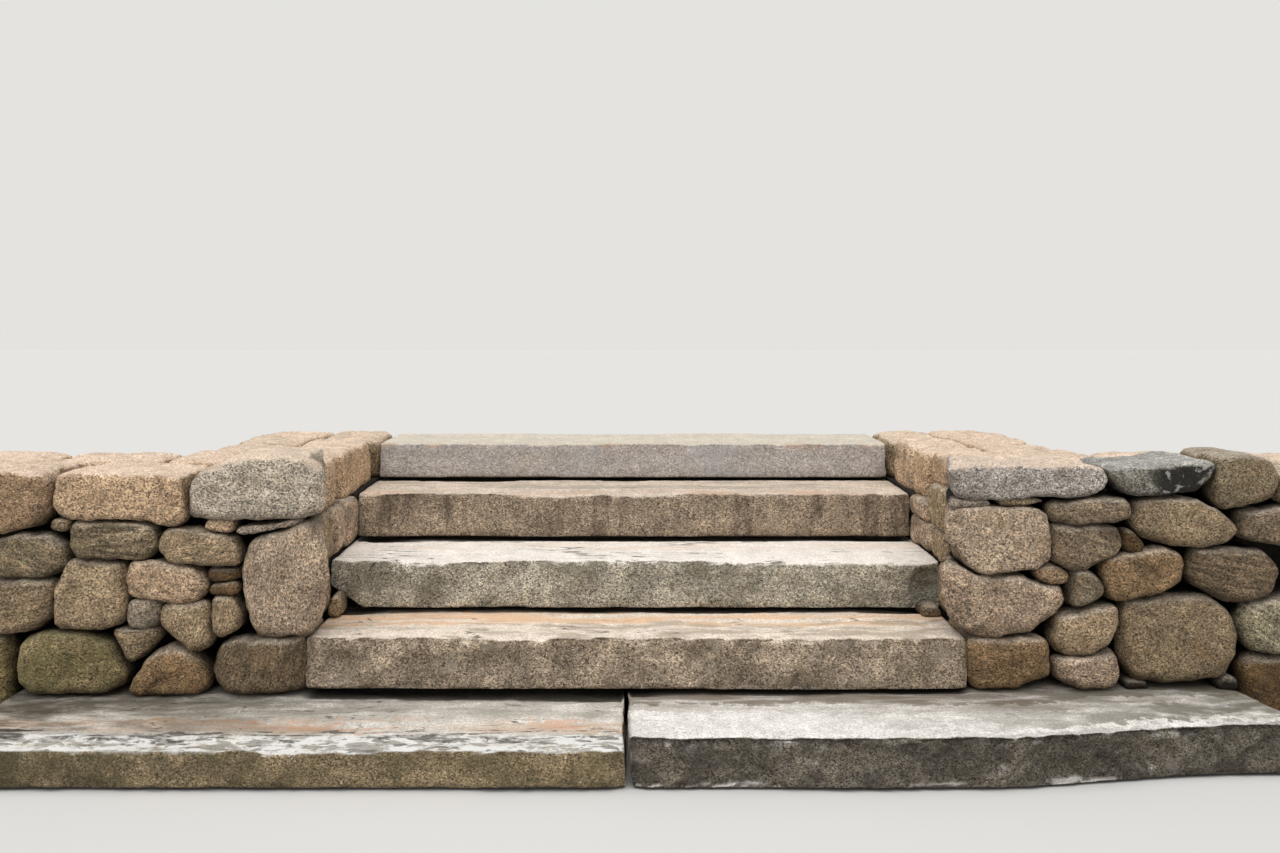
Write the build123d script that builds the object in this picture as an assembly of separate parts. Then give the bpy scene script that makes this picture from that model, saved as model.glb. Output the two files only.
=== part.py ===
from build123d import *
import math
import os
import random

# Five stone steps set into a dry-laid rubble wall that holds a grass bank.
# X runs along the wall to the right, Y runs into the bank, Z is up.
# The origin is on the ground, halfway along the flight, in the plane of the wall's faces.
# All sizes are millimetres.

# Treads, from the lowest up: each slab is as thick as the rise that it gives
RISE_1 = 155.0
RISE_2 = 165.0
RISE_3 = 170.0
RISE_4 = 173.0
RISE_5 = 152.0
# Goings, from the front of one tread to the front of the next
GOING_1 = 377.0
GOING_2 = 332.0
GOING_3 = 374.0
GOING_4 = 369.0
TOP_TREAD_DEPTH = 400.0
OVERLAP = 80.0

# The lowest course is two long slabs that run under the walls at both sides
SLAB_REACH = 2000.0
RIGHT_SLAB_SHORT = 57.0
RIGHT_SLAB_END_LEAN = 30.0
RIGHT_SLAB_SKEW = 152.0
LEFT_SLAB_DROP = 17.0
SLAB_SEAM_LEFT = -45.0
SLAB_SEAM_RIGHT = -17.0

# The opening between the side walls, and the ends of the treads in it
OPENING = 2170.0
TREAD_END_GAP = 10.0
SECOND_TREAD_END_GAP = 25.0

# Walls: front walls to each side of the steps, and returns that run back into the bank
WALL_PAST_SLAB = 400.0
WALL_DEPTH = 500.0
FACE_DEPTH = 180.0
BOND_DEPTH = 240.0
RETURN_WIDTH = 555.0
CORNER_REACH = 360.0
PACKING_TOP = 630.0
END_STONE = 180.0
CORNER_RISE = 85.0
CORNER_OVERHANG = 10.0
RIGHT_CAP_LIFT = 84.0
CHIP_DEPTH = 90.0

# How the stones are laid and worn
JOINT = 10.0
CORNER_CUT = 0.14
HIDDEN_COURSE = 165.0
HIDDEN_STONE = 360.0
ARRIS = 9.0
BROKEN_ARRIS_DEPTH = 88.0
BROKEN_ARRIS_HEIGHT = 30.0
BROKEN_CORNER_LENGTH = 137.0
BROKEN_CORNER_HEIGHT = 89.0
UNDERCUT_DEPTH = 46.0
UNDERCUT_HEIGHT = 13.0
RAGGED = 9.0
RAGGED_PITCH = 300.0

# Levels and lines that follow from the sizes above
RISES = [RISE_1, RISE_2, RISE_3, RISE_4, RISE_5]
TOPS = [sum(RISES[:n + 1]) for n in range(len(RISES))]
FRONTS = [-GOING_1, 0.0, GOING_2, GOING_2 + GOING_3, GOING_2 + GOING_3 + GOING_4]
BACK = FRONTS[4] + TOP_TREAD_DEPTH
REARS = [FACE_DEPTH, FRONTS[2] + OVERLAP, FRONTS[3] + OVERLAP, FRONTS[4] + OVERLAP, BACK]
HALF = OPENING / 2
OUTER = HALF + RETURN_WIDTH
WALL_LENGTH = SLAB_REACH - HALF + WALL_PAST_SLAB
BED_TOPS = {"left": TOPS[0] - LEFT_SLAB_DROP, "right": TOPS[0]}
CAP_BED = TOPS[3]
WALL_TOP = TOPS[4] + CORNER_RISE
UP = Vector(0, 0, 1)

# The wall faces are drawn once in round figures, then fitted to the sizes above:
# u is the distance out from the opening, z the height from the ground
DRAWING = {"top": 900, "end": 1135, "left_bed": 138, "right_bed": 155, "left_slab_end": 915,
           "right_slab_end": 858}

nodes = {}


# A stone's outline loses its corners, as weather and handling take them off

def worn(points, share=CORNER_CUT):
    outline = []
    for here, after in zip(points, points[1:] + points[:1]):
        for part in (share, 1 - share):
            outline.append((here[0] + (after[0] - here[0]) * part,
                            here[1] + (after[1] - here[1]) * part))
    return outline


def centre_of(points):
    return (sum(p[0] for p in points) / len(points), sum(p[1] for p in points) / len(points))


def shrunk(points, scale):
    cx, cy = centre_of(points)
    return [(cx + (x - cx) * scale, cy + (y - cy) * scale) for x, y in points]


# Each style is a list of rings from the face inwards: share of the outline, depth from the face
BOULDER = [(0.76, -16.0), (0.92, -5.0), (1.0, 24.0)]
BLOCK = [(0.87, -12.0), (0.965, -5.0), (1.0, 14.0)]
CHIP = [(0.8, 2.0), (1.0, 14.0)]
PLAIN = [(0.84, -6.0), (1.0, 26.0)]
CAP = [(0.8, 0.0), (0.95, 8.0), (1.0, 26.0)]


def facet(corners):
    return Face(Wire.make_polygon(corners, close=True))


def stone(points, depth, style, plane, share=CORNER_CUT, tail=None):
    # Rings of one shape and falling size, joined by facets that are all flat. A stone with a tail
    # runs back to an outline of its own, and its facets there are triangles, which stay flat.
    outline = worn(points, share)
    rings = [[(x, y, -back) for x, y in shrunk(outline, scale)] for scale, back in style]
    rings.append([(x, y, -depth) for x, y in (tail(outline) if tail else outline)])
    facets = [facet(rings[0]), facet(rings[-1])]
    for near, far in zip(rings, rings[1:]):
        for n in range(len(outline)):
            corners = [near[n - 1], near[n], far[n], far[n - 1]]
            if tail and far is rings[-1]:
                facets += [facet(corners[:3]), facet([corners[0]] + corners[2:])]
            else:
                facets.append(facet(corners))
    return plane.location * Solid(Shell(facets))


def face_plane(x, y, outward):
    # A plane standing on the ground at x, y, that looks outward with its own y upwards
    return Plane(origin=(x, y, 0), x_dir=UP.cross(Vector(*outward)), z_dir=Vector(*outward))


FRONT = face_plane(0, 0, (0, -1, 0))


# Treads: an outline from above, cut by the section that carries the arris and the undercut

def ragged_line(start, end, seed):
    # The split front edge of a slab wanders a little about its line
    rng = random.Random(seed)
    run = math.dist(start, end)
    count = max(2, round(run / RAGGED_PITCH))
    line = [start]
    for n in range(1, count):
        along = (n + rng.uniform(-0.3, 0.3)) / count
        line.append((start[0] + (end[0] - start[0]) * along,
                     start[1] + (end[1] - start[1]) * along + rng.uniform(-RAGGED, RAGGED)))
    return line + [end]


def tread(front_left, front_right, rear_right, rear_left, bottom, top, seed, arris):
    plan = ragged_line(front_left, front_right, seed) + [rear_right, rear_left]
    block = extrude(Pos(0, 0, bottom) * Polygon(*plan, align=None), top - bottom)
    along = (Vector(*front_right) - Vector(*front_left)).normalized()
    inward = UP.cross(along)
    start = Vector(*front_left) - along * 2 * RAGGED
    section_plane = Plane(origin=start, x_dir=inward, z_dir=along)
    arris_depth, arris_height = arris
    out = 2 * RAGGED
    rear = max(rear_right[1], rear_left[1]) - min(front_left[1], front_right[1]) + out
    section = Polygon(
        (arris_depth, top),
        (-out, top - arris_height * (1 + out / arris_depth)),
        (-out, bottom + UNDERCUT_HEIGHT * (1 + out / UNDERCUT_DEPTH)),
        (UNDERCUT_DEPTH, bottom),
        (rear, bottom),
        (rear, top),
        align=None)
    length = math.dist(front_left, front_right) + RAGGED_PITCH
    return block & extrude(section_plane * section, length)


SHARP = (ARRIS, ARRIS)
BROKEN = (BROKEN_ARRIS_DEPTH, BROKEN_ARRIS_HEIGHT)
rear_1 = REARS[0]
nodes["tread_1_left"] = [tread(
    (-SLAB_REACH, FRONTS[0]), (SLAB_SEAM_LEFT, FRONTS[0]),
    (SLAB_SEAM_LEFT, rear_1), (-SLAB_REACH, rear_1), 0, BED_TOPS["left"], 11, BROKEN)]
right_reach = SLAB_REACH - RIGHT_SLAB_SHORT
nodes["tread_1_right"] = [tread(
    (SLAB_SEAM_RIGHT, FRONTS[0]), (right_reach - RIGHT_SLAB_END_LEAN, FRONTS[0] + RIGHT_SLAB_SKEW),
    (right_reach, rear_1), (SLAB_SEAM_RIGHT, rear_1), 0, BED_TOPS["right"], 12, SHARP)]
for n in range(1, 5):
    reach = HALF - (SECOND_TREAD_END_GAP if n == 1 else TREAD_END_GAP)
    nodes[f"tread_{n + 1}"] = [tread(
        (-reach, FRONTS[n]), (reach, FRONTS[n]), (reach, REARS[n]), (-reach, REARS[n]),
        TOPS[n - 1], TOPS[n], 20 + n, SHARP)]

# The third tread has lost the lower corner of its left end
broken_corner = Polygon(
    (-HALF, TOPS[1]), (-HALF + TREAD_END_GAP + BROKEN_CORNER_LENGTH, TOPS[1]),
    (-HALF, TOPS[1] + BROKEN_CORNER_HEIGHT), align=None)
nodes["tread_3"] = [nodes["tread_3"][0] - extrude(
    Plane.XZ.offset(-FRONTS[2] - OVERLAP - UNDERCUT_DEPTH) * broken_corner, 2 * (OVERLAP + UNDERCUT_DEPTH))]


# Packed stone beds under the treads, each from the back of one slab to the back of the next

def block(x_low, x_high, y_low, y_high, z_low, z_high):
    size = (abs(x_high - x_low), y_high - y_low, z_high - z_low)
    return Pos((x_low + x_high) / 2, y_low, z_low) * Box(*size, align=(Align.CENTER, Align.MIN, Align.MIN))


for n in range(1, 5):
    bed_rear = REARS[n] if n < 4 else BACK - FACE_DEPTH
    nodes[f"bed_{n + 1}"] = [block(-HALF, HALF, REARS[n - 1], bed_rear, 0, TOPS[n - 1])]


# Packing inside the walls, hidden by the stones on every side

for side, hand in ((-1, "left"), (1, "right")):
    toe = block(side * HALF, side * (HALF + CORNER_REACH), FACE_DEPTH, BOND_DEPTH, 0, BED_TOPS[hand])
    base = block(side * HALF, side * (OUTER - FACE_DEPTH), BOND_DEPTH, BACK - FACE_DEPTH, 0, TOPS[1])
    low = block(side * HALF, side * (OUTER - FACE_DEPTH), FRONTS[2], BACK - FACE_DEPTH,
                TOPS[1], TOPS[2])
    low += block(side * (HALF + FACE_DEPTH), side * (OUTER - FACE_DEPTH), BOND_DEPTH, FRONTS[2],
                 TOPS[1], TOPS[2])
    high = block(side * (HALF + FACE_DEPTH), side * (OUTER - FACE_DEPTH), BOND_DEPTH, FRONTS[3],
                 TOPS[2], CAP_BED)
    back = block(side * HALF, side * (OUTER - FACE_DEPTH), FRONTS[3], BACK - FACE_DEPTH,
                 TOPS[2], CAP_BED)
    nodes[f"{hand}_return_packing"] = [toe + base + low + high + back]
    nodes[f"{hand}_wall_packing"] = [block(
        side * (HALF + CORNER_REACH), side * (HALF + WALL_LENGTH - END_STONE),
        FACE_DEPTH, BOND_DEPTH, 0, PACKING_TOP)]


# Faces of the front walls, stone by stone

def spread(drawn, drawn_marks, marks):
    # Places a drawn distance between the marks that it was drawn between
    steps = list(zip(drawn_marks, drawn_marks[1:], marks, marks[1:]))
    drawn_low, drawn_high, low, high = next((step for step in steps if drawn <= step[1]), steps[-1])
    return low + (drawn - drawn_low) * (high - low) / (drawn_high - drawn_low)


def fit(side, u, z):
    # Lengths run from the opening to the slab's end and on to the end stones,
    # heights from the ground to the top of the lowest tread and on to the wall's top
    hand = "right" if side > 0 else "left"
    slab_end = SLAB_REACH - HALF - (RIGHT_SLAB_SHORT if side > 0 else 0.0)
    out = spread(u, [0, DRAWING[f"{hand}_slab_end"], DRAWING["end"]],
                 [0, slab_end, WALL_LENGTH - END_STONE])
    up = spread(z, [0, DRAWING[f"{hand}_bed"], DRAWING["top"]], [0, BED_TOPS[hand], WALL_TOP])
    return (out, up)


def wall_stone(side, points, style):
    fitted = [fit(side, u, z) for u, z in points]
    # A stone near the opening or on top reaches back to the bond, the others to the packing
    near = max(u for u, z in fitted) < CORNER_REACH
    high = min(z for u, z in fitted) > PACKING_TOP
    depth = BOND_DEPTH if near or high else FACE_DEPTH

    def drawn_in(outline):
        # A corner stone overhangs the opening at its face only, and narrows to the rear
        return [(side * max(side * x, HALF - CORNER_OVERHANG), z) for x, z in outline]

    overhangs = min(u for u, z in fitted) < -CORNER_OVERHANG
    return stone([(side * (HALF + u), z) for u, z in fitted], depth, style, FRONT,
                 tail=drawn_in if overhangs else None)


LEFT_WALL = {
    "left_corner_cap": (BOULDER, [
        [(350, 715), (340, 835), (185, 900), (0, 902), (-80, 838), (-78, 735), (-45, 702), (320, 702)]]),
    "left_corner_upright": (BOULDER, [
        [(152, 626), (60, 652), (-30, 686), (-62, 670), (-92, 580), (-92, 500), (-62, 372), (-30, 330),
         (60, 320), (132, 324), (168, 430), (180, 560)]]),
    "left_corner_boulder": (BOULDER, [
        [(272, 215), (262, 282), (215, 316), (-10, 312), (-23, 290), (-21, 165), (40, 148), (220, 147),
         (258, 172)]]),
    "left_top_stones": (BLOCK, [
        [(784, 745), (772, 848), (375, 842), (362, 785), (364, 712), (388, 680), (500, 702), (752, 706)],
        [(1135, 850), (835, 850), (796, 800), (800, 720), (835, 676), (960, 657), (1135, 657)]]),
    "left_upper_stones": (BOULDER, [
        [(450, 600), (436, 664), (350, 674), (210, 640), (186, 596), (190, 550), (300, 550), (412, 566)],
        [(736, 615), (730, 672), (690, 692), (500, 691), (456, 664), (452, 606), (500, 572), (700, 572)],
        [(985, 560), (968, 630), (880, 652), (800, 645), (744, 610), (742, 558), (790, 516), (960, 516)]]),
    "left_middle_stones": (BOULDER, [
        [(550, 520), (540, 568), (335, 546), (290, 492), (312, 446), (400, 430), (540, 456)],
        [(735, 564), (562, 556), (554, 520), (555, 380), (578, 352), (765, 342), (784, 370), (778, 480)],
        [(1135, 508), (788, 505), (794, 392), (850, 346), (960, 336), (1135, 336)],
        [(430, 424), (298, 430), (286, 390), (282, 330), (286, 290), (318, 270), (345, 282), (434, 368)],
        [(268, 452), (206, 454), (178, 395), (190, 348), (245, 322), (268, 340), (276, 400)]]),
    "left_lower_stones": (BOULDER, [
        [(544, 142), (530, 185), (474, 258), (405, 290), (345, 276), (286, 214), (282, 168), (310, 141)],
        [(902, 240), (880, 312), (830, 332), (690, 332), (604, 296), (568, 240), (546, 205), (560, 165),
         (610, 144), (860, 146), (890, 180)],
        [(1135, 0), (1135, 328), (914, 326), (932, 0)]]),
    "left_pinning": (CHIP, [
        [(298, 672), (292, 694), (212, 697), (216, 660)],
        [(202, 648), (202, 668), (-5, 698), (-14, 690), (90, 662)],
        [(280, 462), (276, 486), (200, 486), (202, 462)],
        [(288, 502), (286, 537), (196, 542), (190, 502)],
        [(547, 385), (542, 436), (448, 432), (442, 372), (468, 352), (541, 352)],
        [(598, 344), (448, 344), (456, 306), (528, 238), (550, 250), (588, 322)],
        [(790, 702), (732, 696), (742, 658), (800, 668)]]),
}

RIGHT_WALL = {
    "right_corner_cap": (BLOCK, [
        [(-82, 872), (400, 868), (420, 822), (380, 780), (80, 770), (-15, 760), (-60, 772)]]),
    "right_corner_block": (BLOCK, [
        [(-92, 640), (-86, 712), (-45, 732), (195, 738), (236, 710), (238, 575), (210, 550), (130, 538),
         (10, 524), (-35, 556)]]),
    "right_corner_lower_block": (BOULDER, [
        [(-102, 540), (-70, 556), (-30, 532), (5, 512), (160, 516), (196, 488), (282, 478), (288, 440),
         (240, 384), (180, 344), (60, 324), (5, 324), (-75, 376), (-100, 450)]]),
    "right_corner_foot": (BOULDER, [
        [(-22, 310), (100, 316), (190, 322), (236, 302), (240, 205), (215, 190), (120, 160), (-5, 161),
         (-24, 200)]]),
    "right_top_stones": (BLOCK, [
        [(428, 838), (425, 858), (500, 868), (762, 880), (768, 855), (710, 798), (600, 780), (487, 778)],
        [(764, 760), (782, 888), (850, 905), (945, 888), (972, 832), (952, 775), (850, 737), (792, 735)],
        [(984, 845), (1135, 850), (1135, 752), (976, 752)]]),
    "right_upper_stones": (BOULDER, [
        [(236, 742), (395, 766), (492, 758), (502, 712), (450, 690), (310, 686), (250, 700)],
        [(246, 674), (300, 678), (452, 680), (472, 612), (450, 594), (390, 572), (345, 545), (300, 542),
         (254, 568), (246, 600)],
        [(513, 757), (690, 770), (800, 716), (840, 672), (812, 624), (675, 611), (545, 636), (506, 682)],
        [(852, 727), (1135, 740), (1135, 612), (848, 632)]]),
    "right_middle_stones": (BOULDER, [
        [(408, 545), (414, 572), (500, 589), (610, 602), (660, 590), (678, 545), (666, 492), (560, 464),
         (490, 444), (440, 444), (420, 490)],
        [(688, 535), (702, 600), (815, 609), (935, 598), (978, 540), (948, 466), (850, 438), (770, 453),
         (705, 496)],
        [(304, 500), (312, 528), (345, 534), (388, 516), (412, 480), (408, 462), (384, 444), (312, 417),
         (304, 450)],
        [(262, 386), (340, 406), (455, 427), (462, 372), (430, 305), (370, 268), (276, 270), (247, 312)],
        [(842, 372), (878, 434), (1135, 470), (1135, 268), (950, 268), (878, 288)]]),
    "right_lower_stones": (BOULDER, [
        [(472, 412), (500, 434), (600, 452), (740, 450), (795, 424), (820, 395), (844, 320), (834, 245),
         (798, 192), (600, 176), (512, 186), (468, 262)],
        [(252, 250), (370, 257), (450, 274), (460, 220), (448, 170), (330, 163), (262, 197)],
        [(880, 0), (850, 258), (1135, 256), (1135, 0)]]),
    "right_pinning": (CHIP, [
        [(70, 748), (224, 752), (216, 766), (80, 761)],
        [(-84, 736), (54, 744), (46, 758), (-76, 758)],
        [(196, 532), (215, 545), (266, 546), (300, 520), (292, 494), (240, 493), (208, 508)],
        [(478, 640), (490, 664), (506, 657), (534, 620), (532, 602), (492, 600)],
        [(480, 159), (560, 159), (550, 174), (500, 179)],
        [(775, 159), (838, 159), (834, 188), (812, 190)]]),
}

for side, wall in ((-1, LEFT_WALL), (1, RIGHT_WALL)):
    for name, (style, outlines) in wall.items():
        nodes[name] = [wall_stone(side, points, style) for points in outlines]


# Inner faces of the returns. Each stone is given as shares of the run from the corner stones to
# the fourth tread, then shares of the height from the third tread to the caps.

INNER_STONES = {
    "left": [(0.0, 0.25, 0.0, 1.0), (0.25, 0.57, 0.0, 1.0), (0.57, 1.0, 0.0, 1.0)],
    "right": [(0.0, 0.4, 0.0, 0.6), (0.0, 0.52, 0.6, 1.5), (0.52, 1.0, 0.6, 1.0), (0.4, 1.0, 0.0, 0.6)],
}
for side, hand in ((-1, "left"), (1, "right")):
    inner = face_plane(side * HALF, 0, (-side, 0, 0))
    run = FRONTS[3] - BOND_DEPTH
    height = CAP_BED - TOPS[2]
    outlines = []
    for start, end, low, high in INNER_STONES[hand]:
        # Where the first cap is thin, the stones under it are taller
        top = CAP_BED + RIGHT_CAP_LIFT if high > 1 else TOPS[2] + height * high
        outlines.append((BOND_DEPTH + run * start, BOND_DEPTH + run * end, TOPS[2] + height * low, top))
    # One more shows behind the corner, between the second tread and the third
    outlines.append((BOND_DEPTH, FRONTS[2], TOPS[1], TOPS[2]))
    solids = []
    for start, end, low, high in outlines:
        # The first stones butt against the corner stones
        near = start if start == BOND_DEPTH else start + JOINT / 2
        corners = [(near, low), (end - JOINT, low), (end - JOINT / 2, high), (near, high)]
        solids.append(stone([(-side * y, z) for y, z in corners], FACE_DEPTH, BOULDER, inner))
    nodes[f"{hand}_return_inner_stones"] = solids


# Two loose chips lie on the second tread, at the foot of the corner stones

CHIPS = {
    "left": [(25, 0), (68, 0), (72, 30), (58, 70), (34, 62)],
    "right": [(30, 0), (100, 0), (92, 30), (44, 34)],
}
for side, hand in ((-1, "left"), (1, "right")):
    points = [(side * (HALF - x), TOPS[1] + z) for x, z in CHIPS[hand]]
    nodes[f"{hand}_pinning"].append(
        stone(points, CHIP_DEPTH, CHIP, face_plane(0, BOND_DEPTH, (0, -1, 0)), 0.14))


# Flat caps over the returns: two rows, each with seams at shares of the way to the back

def cap_stones(side, x_low, x_high, seams, tops, seed, first_bed=CAP_BED):
    rng = random.Random(seed)
    solids = []
    for start, end, top in zip(seams, seams[1:], tops):
        bed = first_bed if start == seams[0] else CAP_BED
        corners = [(x_low, start), (x_high, start), (x_high, end), (x_low, end)]
        middle = centre_of(corners)
        points = []
        for x, y in corners:
            inset = JOINT / 2 + rng.uniform(0, JOINT)
            # The first and last stones of a row butt against what stands before and behind them
            seam = 0.0 if y in (seams[0], seams[-1]) else JOINT / 2
            points.append((side * (x + math.copysign(inset, middle[0] - x)),
                           y + math.copysign(seam, middle[1] - y)))
        solids.append(stone(points, top - bed, CAP, Plane(origin=(0, 0, top)), 0.16))
    return solids


RETURN_SEAM = HALF + 265.0
INNER_SEAMS = {"left": [0.0, 0.09, 0.22, 0.672, 1.0], "right": [0.0, 0.26, 0.41, 0.66, 1.0]}
OUTER_SEAMS = [0.0, 0.25, 0.525, 0.825, 1.0]
TOP_NEAR_FRONT = TOPS[4] + 35.0
TOP_MIDDLE = TOPS[4] + 18.0
TOP_NEAR_BACK = TOPS[4] + 4.0
for side, hand in ((-1, "left"), (1, "right")):
    inner_seams = [BOND_DEPTH + (BACK - BOND_DEPTH) * share for share in INNER_SEAMS[hand]]
    outer_seams = [BOND_DEPTH + (BACK - BOND_DEPTH) * share for share in OUTER_SEAMS]
    tops = [TOP_NEAR_FRONT, TOP_MIDDLE, TOP_MIDDLE, TOP_NEAR_BACK]
    first_bed = CAP_BED + (RIGHT_CAP_LIFT if side > 0 else 0.0)
    nodes[f"{hand}_return_caps"] = (
        cap_stones(side, HALF, RETURN_SEAM, inner_seams, tops, 40 + side, first_bed)
        + cap_stones(side, RETURN_SEAM, OUTER, outer_seams, tops, 50 + side))
    wall_caps = []
    seams = [OUTER, OUTER + (WALL_LENGTH - RETURN_WIDTH) * 0.52, HALF + WALL_LENGTH]
    for start, end in zip(seams, seams[1:]):
        wall_caps += cap_stones(side, start, end, [BOND_DEPTH, WALL_DEPTH], [TOP_NEAR_FRONT], 60 + side)
    nodes[f"{hand}_wall_rear_caps"] = wall_caps


# Faces that the bank hides: coursed stones, their beds touching

def coursed(length, height, depth, plane, seed, share=0.12):
    rng = random.Random(seed)
    rows = max(1, round(height / HIDDEN_COURSE))
    levels = [0.0]
    for row in range(1, rows):
        levels.append(height * (row + rng.uniform(-0.12, 0.12)) / rows)
    levels.append(height)
    solids = []
    for row, (low, high) in enumerate(zip(levels, levels[1:])):
        count = max(1, round(length / HIDDEN_STONE))
        shift = 0.25 if row % 2 else -0.25
        cuts = [0.0] + [length * (n + shift + rng.uniform(-0.12, 0.12)) / count for n in range(1, count)]
        cuts.append(length)
        for start, end in zip(cuts, cuts[1:]):
            corners = [(start + JOINT / 2, low), (end - JOINT / 2, low),
                       (end - JOINT / 2, high), (start + JOINT / 2, high)]
            solids.append(stone(corners, depth, PLAIN, plane, share))
    return solids


rear_plane = face_plane(OUTER - FACE_DEPTH, BACK, (0, 1, 0))
nodes["flight_rear_stones"] = coursed(2 * (OUTER - FACE_DEPTH), CAP_BED, FACE_DEPTH, rear_plane, 71)
for side, hand in ((-1, "left"), (1, "right")):
    outer_start = BOND_DEPTH if side > 0 else BACK
    nodes[f"{hand}_return_outer_stones"] = coursed(
        BACK - BOND_DEPTH, CAP_BED, FACE_DEPTH,
        face_plane(side * OUTER, outer_start, (side, 0, 0)), 80 + side)
    wall_end = HALF + WALL_LENGTH
    rear_start = wall_end - END_STONE if side > 0 else -(OUTER + JOINT)
    nodes[f"{hand}_wall_rear_stones"] = coursed(
        wall_end - END_STONE - (OUTER + JOINT), CAP_BED, WALL_DEPTH - BOND_DEPTH,
        face_plane(rear_start, WALL_DEPTH, (0, 1, 0)), 90 + side)
    end_start = 0.0 if side > 0 else WALL_DEPTH
    nodes[f"{hand}_wall_end_stones"] = coursed(
        WALL_DEPTH, CAP_BED, END_STONE, face_plane(side * wall_end, end_start, (side, 0, 0)), 100 + side)
    nodes[f"{hand}_wall_end_stones"] += cap_stones(
        side, wall_end - END_STONE, wall_end, [0, BOND_DEPTH], [TOP_NEAR_FRONT], 110 + side)


# Each piece goes out as one file, named for its node

os.makedirs("parts", exist_ok=True)
for name, solids in nodes.items():
    shape = solids[0] if len(solids) == 1 else Compound(solids)
    export_step(shape, f"parts/{name}.step")
    print(name, len(solids), "solids")
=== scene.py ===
# %% [markdown]
# # Garden steps of granite in a dry-laid wall
# Five treads of split granite climb a bank between two walls of field stone. The steps' true sizes
# come from a CAD model, which is loaded here as a fixed frame. This file gives every stone its worn
# shape and its finish, so the frame's plain solids are copied, weathered and shown in their place.

import math
import random

import bmesh
import bpy
from mathutils import Euler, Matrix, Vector, noise


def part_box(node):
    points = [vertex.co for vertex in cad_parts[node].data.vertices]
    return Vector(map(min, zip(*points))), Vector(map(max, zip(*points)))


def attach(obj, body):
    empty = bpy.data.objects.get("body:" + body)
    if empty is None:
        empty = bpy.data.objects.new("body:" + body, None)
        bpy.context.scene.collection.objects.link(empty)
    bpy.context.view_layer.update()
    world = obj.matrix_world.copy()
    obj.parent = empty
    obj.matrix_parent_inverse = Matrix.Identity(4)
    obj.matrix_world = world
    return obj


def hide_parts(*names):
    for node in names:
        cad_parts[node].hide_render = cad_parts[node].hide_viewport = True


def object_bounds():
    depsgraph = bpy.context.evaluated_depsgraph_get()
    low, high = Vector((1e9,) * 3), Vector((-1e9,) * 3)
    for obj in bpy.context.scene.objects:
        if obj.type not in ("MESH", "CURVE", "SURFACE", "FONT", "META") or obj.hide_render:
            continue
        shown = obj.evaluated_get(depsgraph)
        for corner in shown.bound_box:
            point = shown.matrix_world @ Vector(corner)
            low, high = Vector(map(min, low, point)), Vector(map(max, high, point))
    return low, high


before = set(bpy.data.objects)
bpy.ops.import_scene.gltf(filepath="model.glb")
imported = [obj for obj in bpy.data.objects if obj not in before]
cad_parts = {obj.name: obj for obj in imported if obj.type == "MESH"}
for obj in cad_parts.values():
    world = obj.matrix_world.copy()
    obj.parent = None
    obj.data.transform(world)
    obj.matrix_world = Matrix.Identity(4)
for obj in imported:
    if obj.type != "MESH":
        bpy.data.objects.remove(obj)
cad_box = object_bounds()


def placed(name, data):
    """A new object in the scene."""
    thing = bpy.data.objects.new(name, data)
    bpy.context.scene.collection.objects.link(thing)
    return thing


print("nodes in the frame:", len(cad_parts))

# %% [markdown]
# ## The view
# A camera at eye height for someone who sits, level, a little left of the flight's middle. Keeping
# it level keeps upright lines upright. The shift moves the picture on the film, as a view camera
# does, and that brings the ground into the frame without tilting.

# %% Camera
lens = bpy.data.cameras.new("camera")
lens.lens = 28.8
lens.sensor_width = 36
lens.shift_x = 0.0138
lens.shift_y = -0.0848
camera = placed("camera", lens)
camera.location = (-0.045, -3.273, 1.345)
camera.rotation_euler = (math.pi / 2, 0, 0)
bpy.context.scene.camera = camera
bpy.context.scene.view_settings.view_transform = "Standard"
print("camera height:", camera.location.z, "m")

# %% [markdown]
# ## Colours and nodes
# Colours are written as the hex values that a paint picker gives. Blender works in linear light, so
# one function turns them over. A second one adds a shader node, sets it up and links it, and every
# material is built with it. Nodes could be laid by hand in the shader editor too, but written ones
# are read from top to bottom and are made again for the next stone.

# %% Helpers for colours and nodes
def linear(hex_colour):
    """An sRGB hex colour as linear red, green, blue and a full alpha."""
    channels = [int(hex_colour[n:n + 2], 16) / 255 for n in (1, 3, 5)]
    return [c / 12.92 if c <= 0.04045 else ((c + 0.055) / 1.055) ** 2.4 for c in channels] + [1.0]


def add(tree, kind, settings, inputs):
    """Adds a shader node. Inputs are in the order of its sockets, or are given by socket. Each is a
    value, an output to link, or a node, of which the first output in use is linked."""
    node = tree.nodes.new("ShaderNode" + kind)
    for name, value in settings.items():
        setattr(node, name, value)
    for socket, value in inputs.items() if isinstance(inputs, dict) else enumerate(inputs):
        if isinstance(value, bpy.types.Node):
            value = next(output for output in value.outputs if output.enabled)
        if isinstance(value, bpy.types.NodeSocket):
            tree.links.new(value, node.inputs[socket])
        else:
            node.inputs[socket].default_value = value
    return node


def matt(name, roughness):
    """A new material with its nodes and its surface."""
    material = bpy.data.materials.new(name)
    material.use_nodes = True
    surface = material.node_tree.nodes["Principled BSDF"]
    surface.inputs["Roughness"].default_value = roughness
    return material, material.node_tree, surface


print("linear mid grey:", [round(c, 3) for c in linear("#808080")])

# %% [markdown]
# ## Light and floor
# An overcast day: soft light from the whole sky, and more from above than from the sides, so the
# tops of the treads are lighter than their faces and the joints go dark. A world gives the sky. A
# sun lamp with a very wide disc, high up and a little in front, gives the extra from above without
# a sharp shadow. Together they light a level surface to 1, so a colour there shows as it is
# written. The floor is plain and pale, and so is the sky where the camera or a mirror sees it.

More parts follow.
